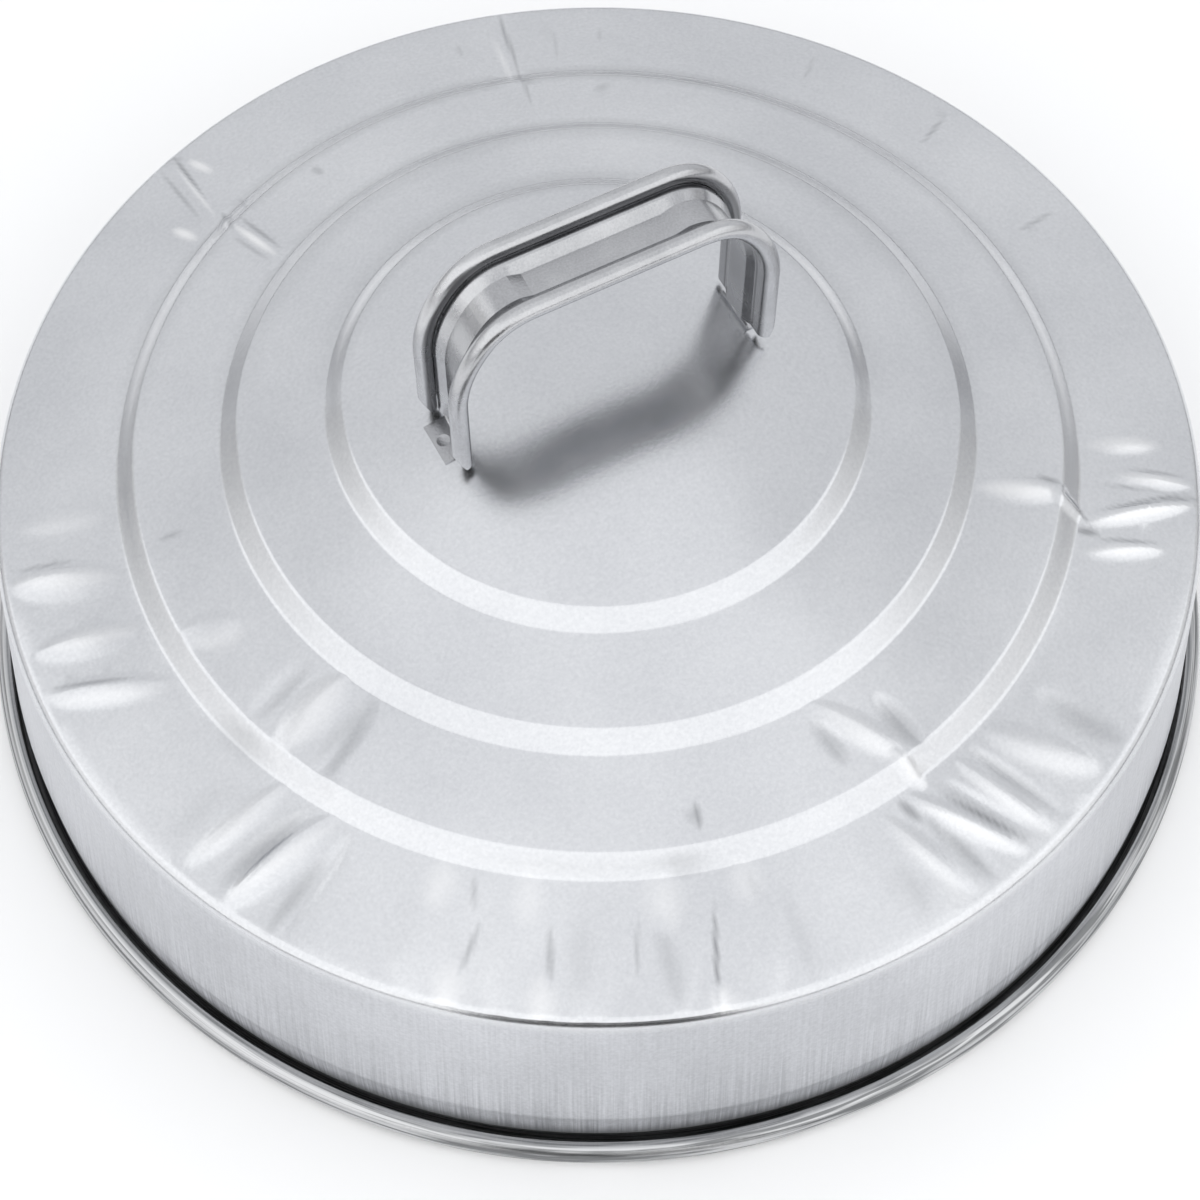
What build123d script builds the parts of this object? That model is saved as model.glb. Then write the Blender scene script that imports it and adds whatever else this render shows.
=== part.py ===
from build123d import *
import math
import os

# Galvanized can lid: one pressed steel shell with a spot-welded strap handle.
# Millimetres, +Z up, origin on the axis at the bottom of the rolled rim.
# The handle runs along X. Bearings are degrees from +X towards +Y.

# Shell, driving dimensions
sheet = 0.7  # thickness of the pressed sheet
corner_radius = 220.0  # outside of the shell at its pressed corner
corner_height = 94.0  # height at which skirt and crown slope would meet
corner_bend = 4.5  # outside radius of the corner's bend
skirt_spread = 8.0  # growth in radius from the corner to the mouth
mouth_band = 20.0  # straight length of skirt above the rim, which guides the can
rim_tube_radius = 4.8  # outside radius of the rolled rim
rim_wrap = 282.0  # degrees that the rim is rolled through
crown_slope = 14.0  # degrees, rise of the crown between its steps
step_radii = (170.5, 131.8, 93.3)  # middle of each pressed step, outermost first
step_width = 7.0  # width of a step in plan
step_rise = 5.8  # rise over one step
step_bend = 4.0  # bend radius at the top and foot of a step

# Puckers that the press left in the crown: bearing, middle radius, length, width, height.
# A negative height is a dent. The steps stay whole between the two bands.
outer_puckers = (
    (-29, 200, 30, 9, 1.0),
    (-33, 197, 34, 8, -1.3),
    (-36, 199, 36, 10, 1.8),
    (-42, 200, 30, 10, 1.2),
    (-71, 197, 34, 10, -0.9),
    (-74.5, 198, 36, 9, 1.7),
    (-78, 198, 36, 8, -1.3),
    (-81, 197, 34, 10, 1.1),
    (-107.5, 196, 36, 6, -0.9),
    (-112.5, 198, 34, 11, 0.8),
    (-122, 199, 32, 11, 0.8),
    (-130, 198, 34, 11, 0.8),
    (-148.5, 198, 36, 11, 1.5),
    (-152.5, 198, 36, 9, -1.1),
    (-176.5, 199, 34, 12, 1.5),
    (-183.4, 199, 34, 12, 1.5),
    (-191, 200, 30, 11, 1.4),
    (-243, 200, 34, 7, -1.5),
    (-246, 200, 32, 8, 1.3),
    (-288, 198, 38, 5, -0.9),
)
middle_puckers = (
    (-38, 151, 24, 9, 1.1),
    (-78.5, 150, 26, 9, -1.1),
    (-82, 150, 26, 10, 1.1),
    (-150, 150, 26, 11, 0.9),
    (-241, 150, 26, 6, 0.8),
    (-287, 151, 26, 5, -0.6),
)

pucker_margin = 0.05  # how far the tools that shape a pucker pass the faces of the sheet

# Handle, driving dimensions
strap = 0.8  # thickness of the handle's sheet
grip_height = 77.0  # top of the handle above its feet
grip_inside = 105.0  # clear length for the hand, between the legs
grip_straight = 62.0  # straight run of the top
tight_turn = 50.0  # degrees of the tight part of each bend
tight_radius = 16.0  # radius of the tight part of each bend
curl_radius = 3.3  # outside radius of each rolled edge
curl_wrap = 315.0  # degrees that an edge is rolled through
curl_spacing = 26.6  # between the middles of the two rolled edges
trough_depth = 3.4  # the top's trough below its ledges
leg_depth = 1.7  # the legs' trough below its ledges
trough_floor = 5.2  # half the width of the trough's flat floor
trough_shoulder = 8.8  # half the width of the trough at its ledges
trough_bend = 1.2  # bend radius along the trough
crease_length = 5.0  # run over which the trough changes depth

# Feet, driving dimensions
foot_length = 9.5  # from the leg's inner face to the foot's edge
foot_width = 17.0  # across the foot
foot_bend = 2.2  # bend radius between leg and foot
foot_bite = 0.15  # depth by which the foot is pressed to the dome's curve
curl_lift = 3.5  # height of the rolled edges' ends above the foot
curl_trim = 6.5  # length over which the rolled edges' outer half is cut away at an end
weld_radius = 2.4  # spot weld's mark on each foot
weld_depth = 0.25  # sink of the spot weld's mark


slope = math.radians(crown_slope)


def crown_points():
    """Outside of the crown from its corner to the foot of its dome, as (radius, height)."""
    points = [(corner_radius, corner_height)]
    for middle in step_radii:
        foot = middle + step_width / 2
        last_radius, last_height = points[-1]
        foot_height = last_height + (last_radius - foot) * math.tan(slope)
        points.append((foot, foot_height))
        points.append((foot - step_width, foot_height + step_rise))
    return points


crown = crown_points()
dome_edge, dome_edge_height = crown[-1]
dome_start = dome_edge - step_bend  # the dome takes over inside the last bend
dome_start_height = dome_edge_height + step_bend * math.tan(slope)
dome_radius = dome_start / math.sin(slope)
dome_top = dome_start_height + dome_radius * (1 - math.cos(slope))
dome_centre = dome_top - dome_radius
mouth_radius = corner_radius + skirt_spread


def dome_height(radius):
    """Height of the dome's outside at a distance from the axis."""
    return dome_centre + math.sqrt(dome_radius**2 - radius**2)


def make_plain_shell():
    """Dome, three steps, corner, skirt and rolled rim as one bent sheet, revolved."""
    rim_inside = rim_tube_radius - sheet
    dome = CenterArc((0, dome_centre), dome_radius, 90, -crown_slope)
    outline = [
        (dome_start, dome_start_height),
        *reversed(crown),
        (mouth_radius, rim_tube_radius + mouth_band),
        (mouth_radius, rim_tube_radius),
    ]
    bends = [step_bend] * (2 * len(step_radii)) + [corner_bend, mouth_band]
    pressed = FilletPolyline(*outline, radius=bends)
    rim = CenterArc((mouth_radius + rim_inside, rim_tube_radius), rim_inside, 180, rim_wrap)
    outside = Wire([*dome.edges(), *pressed.edges(), *rim.edges()])
    section = make_face(outside.offset_2d(sheet, side=Side.RIGHT, closed=True).edges())
    return revolve(Plane.XZ * section, Axis.Z, 360)


def spindle(length, width, height, grow):
    """Long shallow swelling along X with its top at height, its skin moved out by grow."""
    rise = abs(height)
    girth = ((width / 2) ** 2 + rise**2) / (2 * rise)
    bow = ((length / 2) ** 2 + rise**2) / (2 * rise) + grow
    skin = girth + grow
    half = math.sqrt(bow**2 - (bow - skin) ** 2)
    arc = ThreePointArc((-half, 0), (0, skin), (half, 0))
    body = revolve(make_face([arc, Line((half, 0), (-half, 0))]), Axis.X, 360)
    depth = rise - girth if height > 0 else girth - rise
    return Pos(0, 0, depth) * body


def make_puckers(puckers, band_outside):
    """Swellings to add to one band of the crown, and the hollows to take from it afterwards."""
    outer_radius, outer_height = band_outside
    added = []
    hollows = []
    for bearing, radius, length, width, height in puckers:
        level = outer_height + (outer_radius - radius) * math.tan(slope)
        seat = Plane((radius, 0, level), z_dir=(math.sin(slope), 0, math.cos(slope)))
        place = Rot(0, 0, bearing) * seat.location
        if height > 0:
            side, skin, core = Keep.TOP, 0, -sheet
            hollow_level = -sheet - pucker_margin
        else:
            side, skin, core = Keep.BOTTOM, sheet, 0
            hollow_level = pucker_margin
        swelling = spindle(length, width, height, skin)
        hollow = spindle(length, width, height, core)
        added.append(place * split(swelling, Plane.XY.offset(-sheet / 2), side))
        hollows.append(place * split(hollow, Plane.XY.offset(hollow_level), side))
    return added, hollows


def make_shell():
    """The pressed sheet with the puckers in its two outer bands."""
    outer_added, outer_hollows = make_puckers(outer_puckers, crown[0])
    middle_added, middle_hollows = make_puckers(middle_puckers, crown[2])
    return make_plain_shell() + outer_added + middle_added - outer_hollows - middle_hollows


leg_face = grip_inside / 2  # inner limit of each leg, from the middle
foot_face = leg_face + trough_depth - leg_depth  # inner face of each leg's floor
foot_middle = foot_face + foot_length / 2
foot_tilt = math.asin(foot_middle / dome_radius)  # the foot follows the dome's slope
foot_height = dome_height(foot_middle)
curl_end = foot_height + curl_lift
top_face = foot_height + grip_height - 2 * curl_radius - trough_depth


def make_curl():
    """Section of the rolled edge on the strap's far side: a tube with an open seam."""
    seam = 360 - curl_wrap
    reach = 2 * curl_radius
    seam_end = (
        reach * math.cos(math.radians(-90 - seam)),
        reach * math.sin(math.radians(-90 - seam)),
    )
    wedge = make_face(Polyline((0, 0), (0, -reach), seam_end, close=True))
    tube = Circle(curl_radius) - Circle(curl_radius - strap) - wedge
    return Pos(curl_spacing / 2, trough_depth + curl_radius) * tube


def strap_section(depth):
    """Section of the strap across its run, with its trough sunk by depth below the ledges."""
    middle = curl_spacing / 2
    floor = trough_depth - depth
    line = FilletPolyline(
        (-middle, trough_depth),
        (-trough_shoulder, trough_depth),
        (-trough_floor, floor),
        (trough_floor, floor),
        (trough_shoulder, trough_depth),
        (middle, trough_depth),
        radius=trough_bend,
    )
    web = make_face(Wire(line.edges()).offset_2d(strap, side=Side.LEFT, closed=True).edges())
    curl = make_curl()
    return web + curl + mirror(curl, about=Plane.YZ)


def across(x, z, heading):
    """Plane across the strap's run at (x, z); heading is the run's direction in degrees."""
    turn = math.radians(heading)
    return Plane(origin=(x, 0, z), x_dir=(0, 1, 0), z_dir=(math.cos(turn), 0, math.sin(turn)))


def make_grip():
    """Strap from the end of one leg over the top to the end of the other."""
    turn = math.radians(tight_turn)
    half_top = grip_straight / 2
    sideways = leg_face - half_top
    leg_radius = (sideways - tight_radius * math.sin(turn)) / (1 - math.sin(turn))
    bend_z = top_face - tight_radius * (1 - math.cos(turn))
    leg_top = bend_z - leg_radius * math.cos(turn)
    leg = Line((-leg_face, curl_end), (-leg_face, leg_top))
    wide_arc = CenterArc((leg_radius - leg_face, leg_top), leg_radius, 180, -(90 - tight_turn))
    tight_arc = CenterArc(
        (-half_top, top_face - tight_radius), tight_radius, 90 + tight_turn, -tight_turn
    )
    path = Plane.XZ * Wire([leg.edge(), wide_arc.edge(), tight_arc.edge()])
    side = sweep(across(-leg_face, curl_end, 90) * strap_section(leg_depth), path)
    crease_x = half_top - crease_length
    crease = loft(
        [
            across(-half_top, top_face, 0) * strap_section(leg_depth),
            across(-crease_x, top_face, 0) * strap_section(trough_depth),
        ]
    )
    top = extrude(across(-crease_x, top_face, 0) * strap_section(trough_depth), 2 * crease_x)
    ends = [side, crease]
    return top + ends + [mirror(piece, about=Plane.YZ) for piece in ends]


def make_foot():
    """Flat foot: the leg's floor runs on below the rolled edges and turns outwards."""
    tip_x = foot_middle + foot_length / 2 * math.cos(foot_tilt)
    knee_rise = (foot_middle - foot_face) * math.tan(foot_tilt)
    tip_drop = (tip_x - foot_middle) * math.tan(foot_tilt)
    level = foot_height - foot_bite
    line = FilletPolyline(
        (-foot_face, curl_end),
        (-foot_face, level + knee_rise),
        (-tip_x, level - tip_drop),
        radius=foot_bend,
    )
    side = make_face(Wire(line.edges()).offset_2d(strap, side=Side.RIGHT, closed=True).edges())
    foot = extrude(Plane.XZ * side, foot_width / 2, both=True)
    dome = Pos(0, 0, dome_centre) * Sphere(dome_radius)
    return foot - dome - make_weld_mark()


def make_weld_mark():
    """Round dish that the spot weld leaves in the foot's upper face."""
    ball_radius = (weld_radius**2 + weld_depth**2) / (2 * weld_depth)
    centre_distance = dome_radius - foot_bite + strap - weld_depth + ball_radius
    middle = foot_middle + foot_bend / 2
    lean = math.asin(middle / dome_radius)
    centre = (-centre_distance * math.sin(lean), 0, dome_centre + centre_distance * math.cos(lean))
    return Pos(*centre) * Sphere(ball_radius)


def make_end_trim():
    """Prism that cuts the outer half of both rolled edges to a slant at the end of one leg."""
    middle = leg_face + trough_depth + curl_radius
    beyond = middle + 2 * curl_radius
    outline = Polyline(
        (-middle, curl_end),
        (-beyond, curl_end + 2 * curl_trim),
        (-beyond, curl_end - curl_lift / 2),
        (-middle, curl_end - curl_lift / 2),
        close=True,
    )
    return extrude(Plane.XZ * make_face(outline), curl_spacing, both=True)


def make_handle():
    """Whole handle: grip with slanted ends and two feet, one bent strap."""
    foot = make_foot()
    trim = make_end_trim()
    grip = make_grip() - [trim, mirror(trim, about=Plane.YZ)]
    return grip + [foot, mirror(foot, about=Plane.YZ)]


def main():
    os.makedirs("parts", exist_ok=True)
    export_step(make_shell(), "parts/lid_shell.step")
    export_step(make_handle(), "parts/strap_handle.step")


main()
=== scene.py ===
# %% Frame
import math
import bpy
import bmesh
import numpy as np
from mathutils import Matrix


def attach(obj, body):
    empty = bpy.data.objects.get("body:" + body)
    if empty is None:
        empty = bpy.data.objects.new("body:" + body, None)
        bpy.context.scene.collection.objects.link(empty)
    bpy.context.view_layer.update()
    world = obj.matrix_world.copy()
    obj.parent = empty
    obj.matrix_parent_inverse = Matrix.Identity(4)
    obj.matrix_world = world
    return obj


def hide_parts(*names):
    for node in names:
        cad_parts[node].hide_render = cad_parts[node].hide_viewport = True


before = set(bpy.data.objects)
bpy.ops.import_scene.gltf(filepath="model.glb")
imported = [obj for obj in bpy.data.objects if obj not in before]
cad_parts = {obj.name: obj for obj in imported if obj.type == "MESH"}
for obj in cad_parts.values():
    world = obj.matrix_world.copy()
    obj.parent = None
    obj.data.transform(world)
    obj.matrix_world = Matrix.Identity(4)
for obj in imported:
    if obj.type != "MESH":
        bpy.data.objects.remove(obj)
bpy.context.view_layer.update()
print("solids in the frame:", sorted(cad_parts))

# %% [markdown]
# # The camera
# The lid lies on a floor and is seen from above and in front, with its handle turned 28 degrees.
# A long lens from about a metre keeps the far side of the rim nearly as wide as the near side.
# The camera could be aimed by a constraint at the lid. A place and two angles are written instead,
# because they were measured from the ellipses of the rim, the corner and the three steps.

# %% Camera
HANDLE_TURN = 28.0
CAMERA_BACK = 0.501
CAMERA_UP = 0.8655
CAMERA_PITCH = 59.23
CAMERA_LENS = 75.2
SENSOR_WIDTH = 36.0
FRAME_SHIFT = (0.0015, -0.041)
camera_data = bpy.data.cameras.new("camera")
camera_data.sensor_width = SENSOR_WIDTH
camera_data.lens = CAMERA_LENS
camera_data.shift_x, camera_data.shift_y = FRAME_SHIFT
camera = bpy.data.objects.new("camera", camera_data)
bpy.context.scene.collection.objects.link(camera)
turn = math.radians(HANDLE_TURN)
camera.location = (-CAMERA_BACK * math.sin(turn), -CAMERA_BACK * math.cos(turn), CAMERA_UP)
camera.rotation_euler = (math.radians(90 - CAMERA_PITCH), 0, -turn)
bpy.context.scene.camera = camera
print("camera at", [round(c, 3) for c in camera.location])

# %% [markdown]
# # Floor and light
# Bare metal shows what is round it, so the room matters as much as the metal. The room is white,
# with one weak soft lamp overhead, and the metal mirrors it a little darker than the floor sees it.
# Bright cards stand round the front and lean over the lid. The steps and the sides of the folds
# mirror them, and their glow falls towards both sides, as the steps do in the photograph.
# A low grey card dulls the steps at the far sides. A small dark card in front draws the thin dark
# line along the corner, where the sheet turns quickly and mirrors the horizon.
# All this could be painted into the world, but real cards are easier to place and to read.

# %% Floor
def matt_surface(material, colour):
    """Plain matt surface of one colour; return its shader."""
    material.use_nodes = True
    shader = material.node_tree.nodes["Principled BSDF"]
    shader.inputs["Base Color"].default_value = (*colour, 1)
    shader.inputs["Roughness"].default_value = 0.9
    shader.inputs["Specular IOR Level"].default_value = 0.1
    return shader


FLOOR_HALF = 6.0
floor_bm = bmesh.new()
bmesh.ops.create_grid(floor_bm, x_segments=1, y_segments=1, size=FLOOR_HALF)
floor_mesh = bpy.data.meshes.new("floor")
floor_bm.to_mesh(floor_mesh)
floor_bm.free()
floor = bpy.data.objects.new("floor", floor_mesh)
bpy.context.scene.collection.objects.link(floor)
floor_paint = bpy.data.materials.new("floor_paint")
matt_surface(floor_paint, (0.93, 0.93, 0.93))
floor_mesh.materials.append(floor_paint)
print("floor", [round(d, 2) for d in floor.dimensions])

# %% World
ON_FLOOR = 1.06
IN_METAL = 0.84
SEEN_DIRECTLY = 1.0
world = bpy.data.worlds.new("studio")
bpy.context.scene.world = world
world.use_nodes = True
tree = world.node_tree
background = tree.nodes["Background"]
background.inputs["Color"].default_value = (0.97, 0.98, 1.0, 1)
path = tree.nodes.new("ShaderNodeLightPath")
seen_in_metal = tree.nodes.new("ShaderNodeMapRange")
seen_in_metal.inputs["To Min"].default_value = ON_FLOOR
seen_in_metal.inputs["To Max"].default_value = IN_METAL
tree.links.new(path.outputs["Is Glossy Ray"], seen_in_metal.inputs["Value"])
seen_directly = tree.nodes.new("ShaderNodeMapRange")
seen_directly.inputs["To Max"].default_value = SEEN_DIRECTLY
tree.links.new(path.outputs["Is Camera Ray"], seen_directly.inputs["Value"])
tree.links.new(seen_in_metal.outputs["Result"], seen_directly.inputs["To Min"])
tree.links.new(seen_directly.outputs["Result"], background.inputs["Strength"])
print("world on the floor", ON_FLOOR, "in metal", IN_METAL, "seen directly", SEEN_DIRECTLY)

# %% Overhead lamp
LAMP_HEIGHT = 2.0
LAMP_SIDE = 1.6
LAMP_WATTS = 1.6
lamp_data = bpy.data.lights.new("overhead_lamp", "AREA")
lamp_data.size = LAMP_SIDE
lamp_data.energy = LAMP_WATTS
lamp = bpy.data.objects.new("overhead_lamp", lamp_data)
lamp.location = (0, 0, LAMP_HEIGHT)
bpy.context.scene.collection.objects.link(lamp)
print("lamp:", lamp.name, "at", LAMP_HEIGHT, "m")

# %% Cards round the lid
CARD_STEPS = 48


def stage_card(name, low, high, first, last, colour, glow):
    """Curved card between two points (radius, height) and two bearings in degrees."""
    bm = bmesh.new()
    foot = bm.verts.new((low[0], 0, low[1]))
    top = bm.verts.new((high[0], 0, high[1]))
    side = bm.edges.new((foot, top))
    bmesh.ops.rotate(
        bm, verts=[foot, top], cent=(0, 0, 0), matrix=Matrix.Rotation(math.radians(first), 3, "Z")
    )
    whole = abs(last - first) == 360
    bmesh.ops.spin(
        bm,
        geom=[foot, top, side],
        cent=(0, 0, 0),
        axis=(0, 0, 1),
        angle=math.radians(last - first),
        steps=CARD_STEPS,
        use_merge=whole,
    )
    mesh = bpy.data.meshes.new(name)
    bm.to_mesh(mesh)
    bm.free()
    card = bpy.data.objects.new(name, mesh)
    bpy.context.scene.collection.objects.link(card)
    paint = bpy.data.materials.new(name + "_paint")
    shader = matt_surface(paint, colour)
    shader.inputs["Emission Color"].default_value = (0.99, 0.995, 1.0, 1)
    shader.inputs["Emission Strength"].default_value = glow
    mesh.materials.append(paint)
    card.visible_camera = False
    card.visible_shadow = False
    return card


# %% Bright cards
FRONT = -90.0 - HANDLE_TURN
# The bright card leans over the lid, and its bands get narrower towards the top:
# height at the foot and at the top, and half the angle that the band covers.
BRIGHT_BANDS = [
    (0.26, 0.75, 118), (0.75, 1.10, 108), (1.10, 1.24, 95), (1.24, 1.36, 80), (1.36, 1.48, 60),
]
BRIGHT_GLOW = 1.30
BLACK = (0, 0, 0)
CARD_FOOT = (1.50, 0.52)
CARD_LEAN = 0.846


def card_radius(height):
    """Distance of the leaning bright card from the axis at a height."""
    return CARD_FOOT[0] - (height - CARD_FOOT[1]) * CARD_LEAN


bright = []
for index, (low, high, half) in enumerate(BRIGHT_BANDS):
    foot = (card_radius(low), low)
    top = (card_radius(high), high)
    name = f"bright_card_{index}"
    bright.append(stage_card(name, foot, top, FRONT - half, FRONT + half, BLACK, BRIGHT_GLOW))
print("bright bands:", len(bright))

# %% Fade of the lowest band
FADE_ENDS = (-0.75, 1.03)
FADE_GLOW = (0.46, 1.03)


def fade_aside(card, ends, glow):
    """Let a card's glow change with the distance in front of the axis, in metres."""
    tree = card.data.materials[0].node_tree
    place = tree.nodes.new("ShaderNodeTexCoord").outputs["Object"]
    forward = tree.nodes.new("ShaderNodeVectorMath")
    forward.operation = "DOT_PRODUCT"
    front = math.radians(FRONT)
    forward.inputs[1].default_value = (math.cos(front), math.sin(front), 0)
    tree.links.new(place, forward.inputs[0])
    fade = tree.nodes.new("ShaderNodeMapRange")
    fade.inputs["From Min"].default_value, fade.inputs["From Max"].default_value = ends
    fade.inputs["To Min"].default_value, fade.inputs["To Max"].default_value = glow
    tree.links.new(forward.outputs["Value"], fade.inputs["Value"])
    tree.links.new(fade.outputs["Result"], tree.nodes["Principled BSDF"].inputs["Emission Color"])


fade_aside(bright[0], FADE_ENDS, FADE_GLOW)
print("faded:", bright[0].name)

# %% Grey and dark cards
GREY = (0.30, 0.30, 0.31)
DARK = (0.01, 0.01, 0.01)
DARK_HALF = 17
grey_card = stage_card("grey_card", (1.6, 0.03), (1.6, 0.24), 0, 360, GREY, 0)
dark_card = stage_card(
    "dark_card", (0.80, 0.005), (0.80, 0.42), FRONT - DARK_HALF, FRONT + DARK_HALF, DARK, 0
)
for card in (grey_card, dark_card):
    card.visible_diffuse = False
print("cards:", grey_card.name, dark_card.name)

# %% [markdown]
# # The shell's outline
# The shell is one sheet, so half of its section says nearly everything: a shallow dome, three
# steps, a corner, a skirt that spreads a little, and a rim rolled outwards round nothing.
# The outline starts as the corners of that line. Bevelled vertices round them as the press did,
# and two small spins draw the arcs of the dome and the rim.

# %% Sizes of the shell
MM = 0.001
SHEET = 0.7 * MM
CORNER_RADIUS = 220 * MM
CORNER_HEIGHT = 94 * MM
MOUTH_RADIUS = 228 * MM
MOUTH_BAND = 20 * MM
RIM_TUBE = 4.8 * MM
RIM_WRAP = math.radians(282)
SLOPE = math.radians(14)
STEPS = [170.5 * MM, 131.8 * MM, 93.3 * MM]
STEP_WIDTH = 7.0 * MM
STEP_RISE = 5.8 * MM
STEP_BEND = 4 * MM
CORNER_BEND = 4.5 * MM
# Longest piece of the line between two radii, short where folds and steps are.
RUNS = [
    (132 * MM, 219 * MM, 4.4 * MM),
    (98 * MM, 132 * MM, 8 * MM),
    (89 * MM, 98 * MM, 4.4 * MM),
    (219 * MM, 229 * MM, 15 * MM),
]


def crown_corners():
    """Corners of the crown's outside from the outer corner to the foot of the dome."""
    points = [(CORNER_RADIUS, CORNER_HEIGHT)]
    for middle in STEPS:
        radius, height = points[-1]
        foot = middle + STEP_WIDTH / 2
        foot_height = height + (radius - foot) * math.tan(SLOPE)
        points.append((foot, foot_height))
        points.append((foot - STEP_WIDTH, foot_height + STEP_RISE))
    return points


CROWN = crown_corners()
print("crown corners in mm:", [(round(r / MM, 1), round(z / MM, 1)) for r, z in CROWN])

# %% Outline
def round_corner(bm, vertex, radius, segments):
    """Round one corner of an open line to a bend radius."""
    first, second = [edge.other_vert(vertex).co - vertex.co for edge in vertex.link_edges]
    turned = math.pi - first.angle(second)
    reach = radius * math.tan(turned / 2)
    bmesh.ops.bevel(
        bm,
        geom=[vertex],
        affect="VERTICES",
        offset=reach,
        offset_type="OFFSET",
        segments=segments,
        profile=0.5,
        material=-1,
    )


def arc_from(bm, vertex, centre, angle, steps):
    """Draw an arc in the XZ plane from a vertex; return the vertex at its end."""
    made = bmesh.ops.spin(
        bm, geom=[vertex], cent=centre, axis=(0, 1, 0), angle=angle, steps=steps, use_merge=False
    )
    return [part for part in made["geom_last"] if isinstance(part, bmesh.types.BMVert)][0]


def divide_runs(bm, inner, outer, longest):
    """Divide the straight runs of the line between two radii into equal short pieces."""
    for edge in list(bm.edges):
        middle = (edge.verts[0].co.x + edge.verts[1].co.x) / 2
        cuts = math.ceil(edge.calc_length() / longest) - 1
        if inner < middle < outer and cuts > 0:
            bmesh.ops.subdivide_edges(bm, edges=[edge], cuts=cuts)


def shell_outline():
    """Half section of the shell's outer face, as a bent line in the XZ plane."""
    bm = bmesh.new()
    corners = [bm.verts.new((r, 0, z)) for r, z in reversed(CROWN)]
    band_top = bm.verts.new((MOUTH_RADIUS, 0, RIM_TUBE + MOUTH_BAND))
    mouth = bm.verts.new((MOUTH_RADIUS, 0, RIM_TUBE))
    line = corners + [band_top, mouth]
    for first, second in zip(line, line[1:]):
        bm.edges.new((first, second))
    edge_radius, edge_height = CROWN[-1]
    dome_radius = (edge_radius - STEP_BEND) / math.sin(SLOPE)
    dome_foot = bm.verts.new((edge_radius - STEP_BEND, 0, edge_height + STEP_BEND * math.tan(SLOPE)))
    bm.edges.new((dome_foot, corners[0]))
    dome_centre = dome_foot.co.z - dome_radius * math.cos(SLOPE)
    for vertex in corners[:-1]:
        round_corner(bm, vertex, STEP_BEND, 4)
    round_corner(bm, corners[-1], CORNER_BEND, 6)
    round_corner(bm, band_top, MOUTH_BAND, 2)
    arc_from(bm, dome_foot, (0, 0, dome_centre), -SLOPE, 9)
    arc_from(bm, mouth, (MOUTH_RADIUS + RIM_TUBE - SHEET, 0, RIM_TUBE), -RIM_WRAP, 18)
    for inner, outer, longest in RUNS:
        divide_runs(bm, inner, outer, longest)
    return bm


outline = shell_outline()
print("outline points:", len(outline.verts), "from radius",
      round(min(v.co.x for v in outline.verts) / MM, 2), "to",
      round(max(v.co.x for v in outline.verts) / MM, 2))

# %% [markdown]
# # Turning the shell
# The lid is round, so one full turn of its outline makes the whole shell. The turn has 240 steps,
# which keeps the rim round in a close view. Where the press left folds the faces are divided
# later, so the plain parts stay light.

# %% Full turn
TURN_STEPS = 240
SAME_PLACE = 0.02 * MM
bmesh.ops.spin(
    outline,
    geom=list(outline.verts) + list(outline.edges),
    cent=(0, 0, 0),
    axis=(0, 0, 1),
    angle=2 * math.pi,
    steps=TURN_STEPS,
    use_merge=True,
)
bmesh.ops.remove_doubles(outline, verts=outline.verts, dist=SAME_PLACE)
bmesh.ops.recalc_face_normals(outline, faces=outline.faces)
print("turned shell:", len(outline.faces), "faces")

# %% [markdown]
# # Folds and puckers
# When a flat sheet is pressed to a shallow cone, its outer bands have too much length, and the
# spare metal gathers in short radial folds. Each is a small swelling or dent with its own place,
# length, width and height. They could be painted as bump, but real folds catch the light from
# every side and nick the edge, so the vertices are moved along their normals.

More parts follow.
